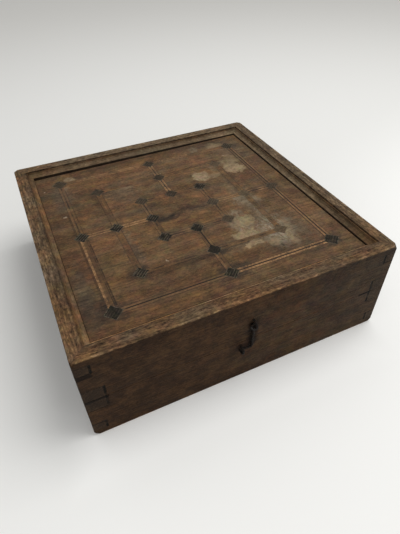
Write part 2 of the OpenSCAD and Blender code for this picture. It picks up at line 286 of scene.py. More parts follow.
# Places on the mill board, in millimetres from its middle: x, y, half width, half height.
# Dark smears, with how much darker they are
smears = (
    (-17.5, -8.5, 9.0, 3.4, 0.30),
    (-9.0, -6.0, 7.0, 2.2, 0.16),
    (4.0, -1.0, 10.0, 3.6, 0.16),
    (-97.0, -41.0, 5.0, 8.0, 0.14),
    (-98.0, -88.0, 9.0, 9.0, 0.16),
    (-22.0, -65.0, 42.0, 5.0, 0.12),
    (-10.0, -82.0, 80.0, 9.0, 0.035),
    (-61.0, 44.0, 5.0, 22.0, 0.12),
    (-58.0, -30.0, 3.5, 24.0, 0.07),
    (38.0, 58.0, 26.0, 3.2, 0.09),
    (30.0, 15.0, 50.0, 2.2, 0.06),
    (-23.0, 18.0, 30.0, 2.0, 0.09),
    (12.0, 98.0, 90.0, 5.0, 0.07),
    (48.0, -77.0, 6.0, 3.0, 0.20),
    (59.0, 22.0, 5.0, 26.0, 0.10),
    (70.0, -62.0, 14.0, 6.0, 0.06),
    (-82.0, 50.0, 16.0, 30.0, 0.05),
    (56.0, -62.0, 22.0, 17.0, -0.07),
    (52.0, -8.0, 14.0, 26.0, -0.04),
    (-74.0, -10.0, 12.0, 60.0, -0.03),
)
# Paler places, bare of polish, with how soft their edge is and how plain they show
bare = (
    (49.0, 36.5, 7.0, 4.0, 0.5, 0.55),
    (72.5, 42.0, 10.5, 9.5, 0.25, 0.95),
    (72.0, 55.0, 11.0, 5.0, 0.7, 0.6),
    (79.0, 63.0, 4.5, 9.0, 0.9, 0.4),
    (74.0, 90.0, 7.5, 7.0, 0.8, 0.6),
    (-77.5, 90.5, 5.5, 4.5, 0.5, 0.75),
    (-84.0, 76.0, 3.5, 3.0, 0.9, 0.4),
    (-31.5, 54.0, 6.0, 3.2, 0.8, 0.45),
    (38.5, -39.0, 8.5, 7.0, 0.4, 0.85),
    (29.0, -42.0, 4.0, 4.5, 0.6, 0.5),
    (30.5, -55.5, 10.5, 6.4, 0.3, 0.8),
    (46.0, -74.0, 3.5, 5.5, 0.7, 0.6),
    (62.0, -71.0, 2.6, 9.0, 0.8, 0.55),
    (66.0, -60.0, 3.0, 8.0, 0.8, 0.45),
)
# Paler places with straight edges: from x to x, from y to y, how soft and how plain
bare_blocks = (
    (30.0, 44.5, 33.0, 48.5, 2.0, 1.0),
    (24.5, 39.5, -69.6, -64.6, 1.6, 0.85),
    (33.0, 41.0, -60.5, -50.0, 2.5, 0.8),
    (30.5, 41.0, -45.0, -32.5, 2.5, 0.75),
)
# Ashen places, where the polish has gone dull and cracked
ashen = (
    (55.0, -59.0, 15.0, 20.0, 0.9, 1.0),
    (50.0, -11.0, 7.5, 8.0, 0.7, 0.6),
    (64.5, -13.0, 3.5, 7.0, 0.8, 0.5),
    (36.0, -28.0, 7.0, 6.0, 0.9, 0.6),
    (52.0, 91.0, 4.0, 7.0, 0.9, 0.5),
    (54.0, 52.0, 5.0, 8.0, 0.9, 0.4),
    (57.0, -26.0, 5.0, 12.0, 0.9, 0.4),
    (36.0, -47.0, 11.0, 15.0, 0.8, 0.75),
)
# Grey bloom
blooms = (
    (-40.0, 46.0, 16.0, 14.0),
    (-90.0, 62.0, 7.0, 24.0),
    (56.0, -10.0, 8.0, 36.0),
    (62.0, -66.0, 22.0, 18.0),
    (-56.0, -30.0, 6.0, 22.0),
    (86.0, 84.0, 16.0, 14.0),
    (-101.0, -66.0, 5.0, 28.0),
    (22.0, -64.0, 16.0, 8.0),
)
# Dark round the points: x, y, radius and how dark
halos = (
    (-86.0, -88.0, 13.0, 0.9),
    (2.0, -88.0, 13.0, 0.9),
    (87.0, -90.0, 10.5, 1.0),
    (-87.5, -2.5, 9.0, 0.6),
    (-59.0, -2.5, 8.5, 0.7),
    (-26.0, -4.5, 9.5, 0.9),
    (-28.0, -30.5, 8.5, 0.7),
    (1.0, -30.5, 8.5, 0.8),
    (-59.0, -61.5, 10.5, 0.9),
    (1.0, -62.0, 12.0, 0.6),
    (28.5, 25.0, 8.5, 0.8),
    (1.0, 25.5, 7.5, 0.5),
    (-28.0, 26.5, 7.5, 0.35),
    (0.0, 56.5, 9.0, 0.55),
    (2.0, 84.0, 9.5, 0.55),
    (88.0, 84.0, 9.0, 0.5),
    (60.0, 56.0, 9.0, 0.4),
    (88.0, -3.0, 9.0, 0.45),
    (-87.0, 84.0, 9.0, 0.35),
    (-59.0, 55.0, 9.5, 0.6),
    (29.0, -32.0, 7.5, 0.4),
    (58.0, -62.0, 8.0, 0.3),
    (30.0, -4.0, 7.0, 0.3),
)
# Marks on the front: from x to x, from z to z, how soft and how dark
front_marks = (
    # the first three rows are painted shadow of the latch, mixed with a rubbed stain about it
    (-4.0, 5.0, 34.0, 62.0, 5.0, 0.20),
    (-2.5, 3.5, 34.0, 60.0, 2.0, 0.32),
    (-12.0, 0.0, 33.0, 39.0, 3.0, 0.14),
    (97.5, 108.5, 40.9, 42.6, 0.8, 0.60),
    (-122.5, -107.0, 40.2, 41.9, 1.2, 0.50),
    (-122.5, -112.5, 66.0, 69.5, 1.6, 0.35),
)
# Flecks of old wax, with their radius
flecks = (
    (-94.0, 30.0, 1.4),
    (-35.8, -58.0, 0.9),
    (75.0, 68.0, 1.1),
    (3.0, 63.0, 0.7),
    (-101.0, 78.0, 0.9),
)
# Where the light strings are rubbed bright: from x to x, from y to y, and how bright
rubbed = (
    (-92.0, -88.0, -86.0, -6.0, 1.0),
    (-92.0, -88.0, 8.0, 84.0, 0.15),
    (-84.0, -64.0, -8.0, 4.0, 0.6),
    (-54.0, -32.0, -8.0, 4.0, 1.0),
    (-70.0, -8.0, 82.0, 90.0, 0.55),
    (8.0, 42.0, 85.0, 90.0, 0.6),
    (8.0, 80.0, 80.0, 85.0, 0.25),
    (-4.0, 4.0, 60.0, 82.0, 0.35),
    (-4.0, 4.0, 30.0, 52.0, 0.7),
    (6.0, 82.0, -94.0, -86.0, 0.95),
    (-78.0, -8.0, -93.0, -90.0, 0.2),
    (84.0, 87.5, -84.0, -6.0, 0.4),
    (87.5, 92.0, -84.0, 78.0, 0.3),
    (30.0, 54.0, -8.0, 4.0, 0.5),
    (63.0, 84.0, -8.0, 4.0, 0.5),
    (-32.0, -26.0, 2.0, 22.0, 0.2),
    (-24.0, -6.0, -34.0, -28.0, 0.3),
    (-4.0, 4.0, -84.0, -64.0, 0.2),
)
# Where the light strings are stained as dark as the dark ones
stained = (
    (-87.4, -84.0, -84.0, -8.0, 0.35),
    (-64.0, -54.0, 8.0, 50.0, 0.40),
    (-64.0, -54.0, -56.0, -10.0, 0.22),
    (54.0, 64.0, 8.0, 50.0, 0.30),
    (-54.0, -6.0, -66.0, -58.0, 0.30),
    (-29.0, -25.0, -28.0, -6.0, 0.6),
    (-4.0, 0.0, -56.0, -34.0, 0.5),
    (0.0, 4.0, -84.0, -64.0, 0.5),
)
# Dark seams beside a line: from x to x, from y to y, and how dark
seams = (
    (-84.2, -83.1, -84.0, -8.0, 0.32),
    (-86.5, -83.8, -84.0, -8.0, 0.10),
    (-91.6, -90.4, -84.0, 30.0, 0.16),
    (84.2, 85.4, -84.0, 78.0, 0.20),
    (-80.0, -8.0, -91.6, -90.6, 0.26),
)
# Where the dark strings have faded, and where they are whole: from x to x, from y to y
faded = (
    (-91.0, -85.0, -84.0, -6.0),
    (-64.0, -54.0, -60.0, 54.0),
    (54.0, 64.0, -60.0, 54.0),
    (-80.0, 80.0, 82.0, 88.0),
    (-80.0, -30.0, -8.0, 4.0),
    (-54.0, 54.0, 54.0, 60.0),
)
unworn = (
    (-80.0, -8.0, -92.0, -87.0),
    (85.0, 90.0, -84.0, 78.0),
    (8.0, 82.0, -92.0, -87.0),
    (-4.0, 4.0, -56.0, -34.0),
)
# Diamonds rubbed brown: x, y of the point and how far
rubbed_diamonds = (
    (59.0, -64.0, 0.80),
    (59.0, -2.5, 0.85),
    (59.0, 56.5, 0.55),
    (28.0, -30.5, 0.45),
    (28.0, -2.5, 0.40),
    (87.5, -2.5, 0.40),
    (-87.5, 85.0, 0.25),
    (-59.0, 56.5, 0.20),
    (0.0, 85.0, 0.12),
    (0.0, 25.5, 0.25),
    (-28.0, 25.5, 0.25),
    (0.0, 56.5, 0.2),
    (87.5, 85.0, 0.15),
)
# Diamonds so dirty that their cuts are filled: x, y
filled = ((-87.5, -90.0), (0.0, -61.5), (0.0, 85.0), (-59.0, 56.5), (0.0, 56.5), (87.5, -90.0))

# ---------------------------------------------------------------- timber

oak_tones = (
    (0.00, (0.012, 0.008, 0.006)),
    (0.25, (0.034, 0.021, 0.013)),
    (0.45, (0.066, 0.040, 0.022)),
    (0.62, (0.112, 0.068, 0.036)),
    (0.80, (0.185, 0.108, 0.052)),
    (1.00, (0.340, 0.215, 0.115)),
)
warm_tones = (
    (0.00, (0.013, 0.007, 0.004)),
    (0.25, (0.036, 0.019, 0.010)),
    (0.45, (0.076, 0.039, 0.018)),
    (0.62, (0.140, 0.072, 0.031)),
    (0.80, (0.235, 0.120, 0.048)),
    (1.00, (0.420, 0.235, 0.100)),
)
grey_tones = (
    (0.00, (0.012, 0.010, 0.008)),
    (0.25, (0.030, 0.023, 0.017)),
    (0.45, (0.058, 0.044, 0.030)),
    (0.62, (0.098, 0.076, 0.048)),
    (0.80, (0.165, 0.133, 0.089)),
    (1.00, (0.310, 0.255, 0.180)),
)
pale_tones = (
    (0.00, (0.030, 0.020, 0.013)),
    (0.30, (0.090, 0.056, 0.030)),
    (0.55, (0.200, 0.125, 0.065)),
    (0.80, (0.330, 0.210, 0.110)),
    (1.00, (0.480, 0.330, 0.190)),
)
bog_tones = (
    (0.00, (0.005, 0.004, 0.003)),
    (0.30, (0.012, 0.010, 0.007)),
    (0.60, (0.024, 0.019, 0.013)),
    (1.00, (0.088, 0.070, 0.048)),
)


def timber(f, along, heart=(0.0, -70.0), ring=2.4, seed=0):
    """Solid wood. The place is split into one part along the grain and two across it. Rings are
    the distance across from the tree's heart, bent by a slow noise and counted by ring width;
    streaks and pores are noises drawn out along the grain, and grain is a speckle in all
    directions. Gives them by name, with two slow maps of where the wood is warmer or greyer."""
    order = {"x": (f.x, f.y, f.z), "y": (f.y, f.x, f.z), "z": (f.z, f.x, f.y)}[along]
    q = f.moved(f.joined(*order), (37.0 * seed, 11.0 * seed, 5.3 * seed))
    bend = f.times(f.minus(f.noise(q, (0.008, 0.022, 0.022), 2.0), 0.5), 26.0)
    a = f.plus(f.minus(order[1], heart[0]), bend)
    b = f.minus(order[2], heart[1])
    far = f.sum("SQRT", f.plus(f.times(a, a), f.times(b, b)))
    uneven = f.times(f.noise(f.joined(far, 0.31 * seed, 0.0), 0.16, 2.0), 5.0)
    turn = f.sum("FRACT", f.plus(f.times(far, 1.0 / ring), uneven))
    rings = f.times(f.fade(turn, 0.15, 0.92), f.fade(turn, 1.0, 0.94))
    hair = f.noise(q, (0.10, 2.3, 2.3), 2.0, 0.5)
    return {
        "slow": f.noise(q, (0.020, 0.085, 0.085), 3.0, 0.6),
        "fine": f.noise(q, (0.070, 0.65, 0.65), 4.0, 0.62),
        "grain": f.noise(q, (0.42, 0.70, 0.70), 4.0, 0.72),
        "rings": rings,
        "pores": f.times(f.fade(hair, 0.57, 0.70), f.fade(rings, 0.85, 0.2)),
        "warm": f.noise(q, (0.026, 0.070, 0.070), 4.0, 0.6),
        "grey": f.noise(f.moved(q, (91.0, 13.0, 47.0)), (0.022, 0.050, 0.050), 4.0, 0.62),
    }


def oak_tone(f, wood, base, slow=0.20, fine=0.30, grain=0.60, ring=0.04, pore=0.14):
    """How light the wood is: its base, moved by streaks, speckle, rings and open pores."""
    tone = base
    for name, by in (("slow", slow), ("fine", fine), ("grain", grain), ("rings", ring)):
        tone = f.plus(tone, f.times(f.minus(wood[name], 0.5), by))
    return f.minus(tone, f.times(wood["pores"], pore))


def oak_colour(f, wood, tone, warm=0.9, grey=0.45):
    """Brown, turned warmer here and greyer there by the wood's two slow maps."""
    colour = f.scale_of(tone, oak_tones)
    share = f.fade(wood["warm"], 0.36, 0.60, 0.0, warm)
    colour = f.blend(share, colour, f.scale_of(tone, warm_tones))
    share = f.fade(wood["grey"], 0.48, 0.66, 0.0, grey)
    colour = f.blend(share, colour, f.scale_of(tone, grey_tones))
    return f.tinted(f.tinted(colour, 0.055, 0.44), 0.18, 0.42)


def oak_relief(f, wood, more=None):
    """Pores are sunk, late rings stand a little proud."""
    height = f.plus(f.times(wood["fine"], 0.5), f.times(wood["rings"], 0.16))
    height = f.plus(height, f.times(wood["grain"], 0.45))
    height = f.minus(height, f.times(wood["pores"], 0.55))
    if more is not None:
        height = f.plus(height, more)
    return height


def mill_distance(f):
    """How far a place is from the nearest line of the mill. The three squares are steps of the
    larger of |x| and |y| from the mill's middle, and the spokes join them at mid side."""
    ax, ay = f.size(f.x), f.size(f.plus(f.y, mill_forward))
    m = f.most(ax, ay)
    squares = f.least(*[f.size(f.minus(m, half)) for half in mill_steps])
    outside = f.most(f.minus(mill_steps[-1], m), f.minus(m, mill_steps[0]))
    spoke = f.plus(f.least(ax, ay), f.times(f.most(outside, 0.0), 9.0))
    return f.least(squares, spoke)


def wide_board(f, seed, mill=True):
    """The timber of a wide board, its cloudy mottle, and how light it is. What is let into the
    mill board and worn as brown as it takes the same tone, so that it is lost in it."""
    wood = timber(f, "x", (14.0, -46.0), 3.1, seed)
    cloud = f.noise(f.mm, 0.018, 4.0, 0.62)
    mottle = f.noise(f.scaled(f.mm, (0.85, 1.2, 1.0)), 0.090, 5.0, 0.66)
    base = f.plus(0.562, f.times(f.minus(cloud, 0.5), 0.28))
    base = f.plus(base, f.times(f.minus(mottle, 0.5), 0.66))
    tone = oak_tone(f, wood, base, slow=0.14, fine=0.10, grain=0.66, pore=0.08)
    pit = f.noise(f.mm, (0.30, 0.62, 0.62), 5.0, 0.78)
    tone = f.minus(tone, f.fade(pit, 0.43, 0.35, 0.0, 0.10))
    tone = f.plus(tone, f.fade(pit, 0.58, 0.66, 0.012, 0.075))
    if mill:
        edge = f.most(f.size(f.x), f.size(f.y))
        tone = f.minus(tone, f.fade(edge, 98.0, 107.0, 0.0, 0.03))
        tone = f.minus(tone, f.fade(edge, 57.0, 70.0, 0.0, 0.028))
        tone = f.minus(tone, f.fade(edge, 84.0, 98.0, 0.0, 0.022))
        tone = f.plus(tone, f.fade(f.x, -108.0, -86.0, -0.02, 0.015))
        # lighter towards the right: partly the board's own tone, partly a painted sheen
        tone = f.plus(tone, f.fade(f.x, 0.0, 60.0, 0.0, 0.025))
        tone = f.minus(tone, f.fade(f.y, -56.0, -78.0, 0.0, 0.038))
    return wood, mottle, tone


def board_brown(f, wood, tone):
    """The mill board's brown: redder to the left, greyer to the right, where the grey is partly a
    painted sheen.
    """
    warm, grey = f.fade(f.x, -20.0, 60.0, 0.92, 0.60), f.fade(f.x, -70.0, 40.0, 0.07, 0.38)
    near = f.fade(f.y, -50.0, -80.0, 1.0, 0.45)
    return f.scaled(oak_colour(f, wood, tone, warm, f.times(grey, near)), (1.0, 0.985, 0.91))


def panel_finish(name, seed, mill):
    """A wide board with the grain left to right, dulled by handling; mill adds the playing
    face's stains, paler patches and the dirt that lies along its strings."""
    f = Finish(name)
    f.bend(12.0, 0.11)
    wood, mottle, tone = wide_board(f, seed, mill)
    height = f.plus(f.times(wood["grain"], 0.6), f.times(mottle, 0.6))
    height = f.plus(height, f.minus(f.times(wood["fine"], 0.25), f.times(wood["pores"], 0.5)))
    # painted shade: the tongue and the edges are darkened where they lie in the groove, less at the
    # left and front
    from_parting = f.size(f.minus(f.z, parting))
    sunk = f.fade(from_parting, 36.6, 36.2)
    open_side = f.fade(from_parting, 33.2, 33.6)
    tight = f.fade(f.least(f.x, f.y), 0.9 - inner_half, 0.4 - inner_half, 0.45, 0.05)
    tone = f.minus(tone, f.times(f.times(sunk, open_side), tight))
    if not mill:
        colour = oak_colour(f, wood, tone)
        rough = f.plus(0.52, f.times(f.noise(f.mm, 0.05, 3.0), 0.22))
        return f.finish(colour, rough, height, 0.4, Specular_IOR_Level=0.15)
    # the dark lines beside the strings, and the stains, all on the playing face alone
    face = f.fade(f.z, 78.2, 78.7)
    beside = f.size(f.minus(mill_distance(f), 2.45))
    beside = f.times(f.fade(beside, 0.7, 0.1), f.fade(mottle, 0.38, 0.6, 0.04, 0.26))
    tone = f.minus(tone, f.times(beside, face))
    seam = f.most_of(f.times(f.window(x0, x1, y0, y1, 0.8), by) for x0, x1, y0, y1, by in seams)
    tone = f.minus(tone, f.times(f.times(seam, face), f.fade(mottle, 0.38, 0.52, 0.2, 1.0)))
    smear = f.sum_of(f.times(f.spot(cx, cy, rx, ry, 1.0, 1.3), by) for cx, cy, rx, ry, by in smears)
    tone = f.minus(tone, f.times(smear, face))
    f.wait_for(smear)
    grime = f.most_of(
        f.times(f.spot(cx, cy, 0.8 * r, 0.70 * r, 0.9, 0.9), by) for cx, cy, r, by in halos
    )
    f.wait_for(grime)
    grime = f.times(grime, face)
    pale = f.most_of(
        f.times(f.spot(cx, cy, rx, ry, soft, 1.6), by) for cx, cy, rx, ry, soft, by in bare
    )
    f.wait_for(pale)
    torn = f.moved(f.bent, f.scaled(f.joined(f.rag, f.rag, 0.0), 7.0))
    blocks = f.most_of(
        f.times(f.window(x0, x1, y0, y1, soft, torn), by) for x0, x1, y0, y1, soft, by in bare_blocks
    )
    pale = f.times(f.most(pale, blocks), face)
    pale = f.times(pale, f.fade(f.noise(f.mm, 0.30, 4.0, 0.72), 0.36, 0.52, 0.55, 1.0))
    ash = f.most_of(
        f.times(f.spot(cx, cy, rx, ry, soft, 1.4), by) for cx, cy, rx, ry, soft, by in ashen
    )
    f.wait_for(ash)
    crackle = f.size(f.minus(f.noise(f.scaled(f.mm, (1.0, 0.6, 1.0)), 0.16, 5.0, 0.72, 0.6), 0.5))
    ash = f.times(f.times(ash, face), f.fade(crackle, 0.005, 0.06, 0.05, 0.95))
    bloom = f.most_of(f.spot(cx, cy, rx, ry, 1.2, 2.4) for cx, cy, rx, ry in blooms)
    fleck = f.most_of(f.spot(cx, cy, r, r * 0.7, 0.8, 1.0) for cx, cy, r in flecks)
    tone = f.minus(tone, f.times(grime, 0.14))
    colour = board_brown(f, wood, tone)
    dusty = f.scale_of(f.plus(tone, 0.04), grey_tones)
    colour = f.blend(f.times(f.times(bloom, face), 0.5), colour, dusty)
    cracked = f.scale_of(f.plus(0.82, f.times(f.rag, 0.9)), grey_tones)
    colour = f.blend(ash, colour, f.tinted(cracked, 0.3, 0.5))
    light = f.blend(f.fade(f.rag, -0.12, 0.08), (0.200, 0.140, 0.082), (0.278, 0.205, 0.120))
    light = f.tinted(f.tinted(light, 0.035, 0.45), 0.3, 0.4)
    colour = f.blend(f.times(pale, 0.95), colour, light)
    colour = f.blend(f.times(grime, 0.45), colour, (0.026, 0.022, 0.017))
    colour = f.blend(f.times(f.times(fleck, face), 0.7), colour, (0.36, 0.27, 0.19))
    rough = f.plus(0.52, f.times(f.noise(f.mm, 0.05, 3.0), 0.22))
    rough = f.plus(rough, f.times(pale, 0.2))
    return f.finish(colour, rough, height, 0.4, Specular_IOR_Level=0.15)


def joint_lines(f, drop):
    """The dark lines of the finger joints, by how far a place is from the rim's top. The side
    boards' pins show at the front and back, and the front and back boards' at the sides."""
    along = f.least(f.size(f.x), f.size(f.y))
    ends = f.fade(f.minus(f.size(f.y), f.size(f.x)), -0.4, 0.4)
    past = f.fade(along, inner_half - 0.7, inner_half - 0.2)
    inside = f.fade(along, thin_half - 0.7, thin_half - 0.2)
    thin = f.between(drop, mitre_foot - 0.2, thin_foot + 0.4)
    middle = f.between(drop, thin_foot - 0.2, foot_top + 0.2)
    foot = f.between(drop, foot_top - 0.4, parting + 1.0)
    by_thin = f.times(f.line(along, thin_half + 0.1, 2.4), thin)
    by_foot = f.times(f.line(along, inner_half + 0.1, 2.4), foot)
    by_side = f.times(f.line(along, inner_half, 1.8), middle)
    under_thin = f.line(drop, thin_foot, 1.1)
    over = f.times(f.most(f.times(f.line(drop, mitre_foot, 0.9), 0.5), under_thin), inside)
    under = f.times(f.times(f.line(drop, foot_top, 1.1), past), 0.5)
    front = f.most(by_thin, by_foot, over, under)
    side = f.most(by_side, f.times(under_thin, past), under)
    return f.plus(f.times(front, ends), f.times(side, f.minus(1.0, ends)))


def board_finish(name, along, seed, lid, rim, warm, foot):
    """A tray board with the grain along it. The outside is dark with old polish, the rim is rubbed
    lighter at its arris, dirt and painted shade lie in the moulding, with painted light on its hollow,
    and the joints are black. rim is how much lighter the rim is, warm how open its grain is, and foot
    how dark the painted shade on the wall at the moulding's foot is, or how much painted light lifts
    the lip there where it is below nothing."""
    f = Finish(name)
    f.bend(12.0, 0.14)
    heart = (0.0, -90.0) if along == "x" else (0.0, -120.0)
    wood = timber(f, along, heart, 2.2, seed)
    cloud = f.noise(f.mm, 0.022, 4.0, 0.62)
    mottle = f.noise(f.mm, 0.10, 5.0, 0.66)
    drawn = (0.24, 0.62, 0.62) if along == "x" else (0.62, 0.24, 0.62)
    pit = f.noise(f.mm, drawn, 5.0, 0.75)
    across, length = (f.y, f.x) if along == "x" else (f.x, f.y)
    out = f.most(f.size(f.x), f.size(f.y))
    drop = f.minus(rim_top, f.z) if lid else f.z
    flat = f.fade(drop, 1.6, 0.6)
    face = f.fade(f.size(across), case_half - 1.3, case_half - 0.3)
    face = f.times(face, f.fade(drop, 0.4, 1.4))
    ends = f.fade(f.size(length), case_half - 0.9, case_half - 0.2)
    ends = f.times(ends, f.fade(drop, 0.6, 1.6))
    outer = f.most(face, ends)
    rub = f.minus(1.0, f.times(outer, 0.25))
    base = f.minus(0.57, f.times(outer, f.fade(f.x, -115.0, 40.0, 0.285, 0.22)))
    tone = f.plus(f.plus(base, f.times(flat, rim)), f.times(f.minus(cloud, 0.5), 0.20))
    tone = f.plus(tone, f.times(f.minus(mottle, 0.5), 0.62))
    tone = f.plus(tone, f.times(f.times(f.minus(pit, 0.5), outer), 0.30))
    tone = f.plus(tone, f.times(oak_tone(f, wood, 0.0), rub))
    tone = f.plus(tone, f.times(ends, 0.01))
    # rubbed arris of the rim, broken by a noise along it
    arris = f.times(f.fade(drop, 1.5, 0.3), f.fade(out, case_half - 1.9, case_half - 0.5))
    worn = f.times(arris, f.fade(f.noise(f.mm, 0.10, 5.0, 0.75), 0.40, 0.58))
    tone = f.plus(tone, f.times(worn, 0.16))
    # the outer half of the rim is warmer and more open in the grain, with dark pits
    band = f.times(f.fade(out, 115.6, 117.4), flat)
    tone = f.plus(tone, f.times(band, f.times(f.minus(wood["fine"], 0.46), warm)))
    tone = f.plus(tone, f.times(flat, f.minus(f.times(f.minus(pit, 0.48), 1.05), 0.030)))
    tone = f.minus(tone, f.times(flat, f.times(f.fade(pit, 0.42, 0.34), 0.24)))
    # dirt and painted shade in the quirk, painted light on the hollow, and painted shade on the wall
    # below it
    quirk_dirt_and_shade = f.times(f.fade(f.size(f.minus(out, rim_half - 0.1)), 1.0, 0.2), 0.12)
    hollow_side = f.times(f.fade(out, rim_half + 0.1, rim_half - 0.9), f.fade(drop, 1.0, 2.2))
    toward = f.most(f.fade(f.x, 60.0, 100.0), f.fade(f.y, -100.0, -104.0))
    # painted shade: the front end of the right board's hollow is darkened as if its moulding were
    # broken away deeper
    right = f.times(f.fade(f.x, 106.0, 107.0), f.fade(f.plus(f.y, f.times(f.rag, 9.0)), -33.0, -38.0))
    broken_hollow_shade = f.times(hollow_side, f.times(right, 0.12))
    # painted light: the hollow is lightened, more towards the right and the front
    tone = f.plus(tone, f.times(hollow_side, f.plus(f.times(toward, 0.075), 0.075)))
    wall_painted_shade = f.times(f.fade(out, inner_half + 0.9, inner_half + 0.2), f.fade(drop, 4.2, 5.0))
    wall_painted_shade = f.times(wall_painted_shade, foot)
    # painted light: where foot is below nothing, the lip above the wall is lightened instead of shaded
    if foot <= 0.0:
        lip = f.times(f.fade(out, inner_half + 1.5, inner_half + 0.7), f.fade(drop, 3.0, 4.2))
        tone = f.plus(tone, f.times(lip, f.times(f.fade(pit, 0.40, 0.52), -foot)))
    moulding = f.times(f.fade(drop, 13.2, 12.8), f.fade(out, inner_half - 1.5, inner_half - 0.5))
    tone = f.minus(tone, f.times(f.most(quirk_dirt_and_shade, broken_hollow_shade, wall_painted_shade), moulding))
    # marks on the front: painted shadow and a rubbed stain about the latch, and the dark of the
    # parting, open at the right end
    front = f.fade(f.y, 1.5 - case_half, 0.5 - case_half)
    at = f.joined(f.plus(f.x, f.times(f.rag, 9.0)), f.z, 0.0)
    marks = f.most_of(
        f.times(f.window(x0, x1, z0, z1, soft, at), by) for x0, x1, z0, z1, soft, by in front_marks
    )
    tone = f.minus(tone, f.times(marks, front))
    tone = f.plus(tone, f.times(f.times(f.line(f.z, parting, 3.0), face), 0.05))
    # the sides are darker towards the bottom and the top, and the joints are black
    tone = f.minus(tone, f.times(f.fade(f.z, 16.0, 2.0), f.times(face, 0.02)))
    tone = f.minus(tone, f.times(f.fade(f.z, 72.0, 81.0), f.times(face, 0.035)))
    gaps = f.times(joint_lines(f, drop), outer)
    gaps = f.times(gaps, f.fade(f.rag, -0.13, 0.02, 0.25, 1.0))
    colour = oak_colour(f, wood, tone, 0.85, 0.5)
    redder = f.times(f.times(outer, f.fade(f.x, 60.0, -70.0)), 0.75)
    colour = f.blend(redder, colour, f.scale_of(tone, warm_tones))
    greyer = f.times(f.times(outer, f.fade(f.x, 30.0, 110.0)), 0.40)
    colour = f.blend(greyer, colour, f.scale_of(f.plus(tone, 0.03), grey_tones))
    colour = f.blend(f.times(ends, 0.4), colour, f.scale_of(tone, grey_tones))
    olive = f.times(flat, f.fade(wood["grey"], 0.38, 0.58, 0.15, 0.42)) if lid else 0.0
    # greyer towards the right and back on the rim and the hollow, where the hollow is also lightened
    # as painted light
    dusty = f.times(f.most(hollow_side, flat), f.fade(f.plus(f.x, f.y), -60.0, 90.0, 0.0, 0.65))
    dusty = f.most(dusty, olive)
    colour = f.blend(dusty, colour, f.scale_of(f.plus(tone, f.times(hollow_side, 0.07)), grey_tones))
    colour = f.blend(f.times(gaps, 0.95), colour, (0.004, 0.004, 0.003))
    rough = f.plus(0.55, f.times(f.noise(f.mm, 0.05, 3.0), 0.25))
    height = f.minus(oak_relief(f, wood, f.times(f.times(pit, rub), 0.8)), gaps)
    return f.finish(colour, rough, height, 0.4, Specular_IOR_Level=0.06)


def string_finish(name, light):
    """The mill's strings: light ones are worn bright only here and there, and elsewhere are as
    brown as the board; dark ones are nearly black where they are whole."""
    f = Finish(name)
    wood, mottle, plain = wide_board(f, 1)
    fine = f.noise(f.mm, 0.7, 3.0, 0.6)
    brown = board_brown(f, wood, plain)
    if light:
        bright = f.most_of(f.times(f.window(x0, x1, y0, y1, 3.0), by) for x0, x1, y0, y1, by in rubbed)
        bright = f.times(bright, f.fade(f.plus(mottle, f.times(fine, 0.5)), 0.60, 0.78, 0.15, 1.1))
        tone = f.plus(0.79, f.times(f.minus(fine, 0.5), 0.75))
        tone = f.plus(tone, f.times(f.minus(mottle, 0.5), 0.50))
        tan = f.blend(0.5, f.scale_of(tone, oak_tones), f.scale_of(f.minus(tone, 0.03), warm_tones))
        colour = f.blend(bright, brown, tan)
        stain = f.most_of(f.times(f.window(x0, x1, y0, y1, 2.0), by) for x0, x1, y0, y1, by in stained)
        stain = f.times(stain, f.fade(mottle, 0.36, 0.50, 0.4, 1.0))
        colour = f.blend(stain, colour, (0.030, 0.016, 0.009))
    else:
        whole = f.fade(mottle, 0.42, 0.58, 0.95, 0.15)
        dull = f.most_of(f.window(x0, x1, y0, y1, 4.0) for x0, x1, y0, y1 in faded)
        whole = f.times(whole, f.minus(1.0, f.times(dull, 0.6)))
        kept = f.most_of(f.window(x0, x1, y0, y1, 4.0) for x0, x1, y0, y1 in unworn)
        whole = f.most(whole, kept)
        tone = f.plus(f.minus(0.42, f.times(kept, 0.2)), f.times(f.minus(fine, 0.5), 0.6))
        dark = f.blend(0.55, f.scale_of(tone, bog_tones), f.scale_of(f.times(tone, 0.55), warm_tones))
        colour = f.blend(whole, brown, dark)
    rough = f.plus(0.50, f.times(mottle, 0.2))
    return f.finish(colour, rough, f.plus(f.times(fine, 0.5), mottle), 0.3, Specular_IOR_Level=0.15)


def diamond_edge(f):
    """How far a place is inside the edge of its diamond. Folded over both middles of the mill,
    the points lie at (0, h) and (h, h) for three steps h, and a diamond is all places whose two
    distances from its point add up to less than half its length."""
    ax, ay = f.size(f.x), f.size(f.plus(f.y, mill_forward))
    low, high = f.least(ax, ay), f.most(ax, ay)
    far = 99.0
    for step in mill_steps:
        beyond = f.size(f.minus(high, step))
        corner = f.plus(f.size(f.minus(low, step)), beyond)
        if step == mill_steps[0]:
            corner = f.minus(corner, diamond_corner_more)
        far = f.least(f.plus(low, beyond), corner, far)
    return f.minus(diamond_half, far)


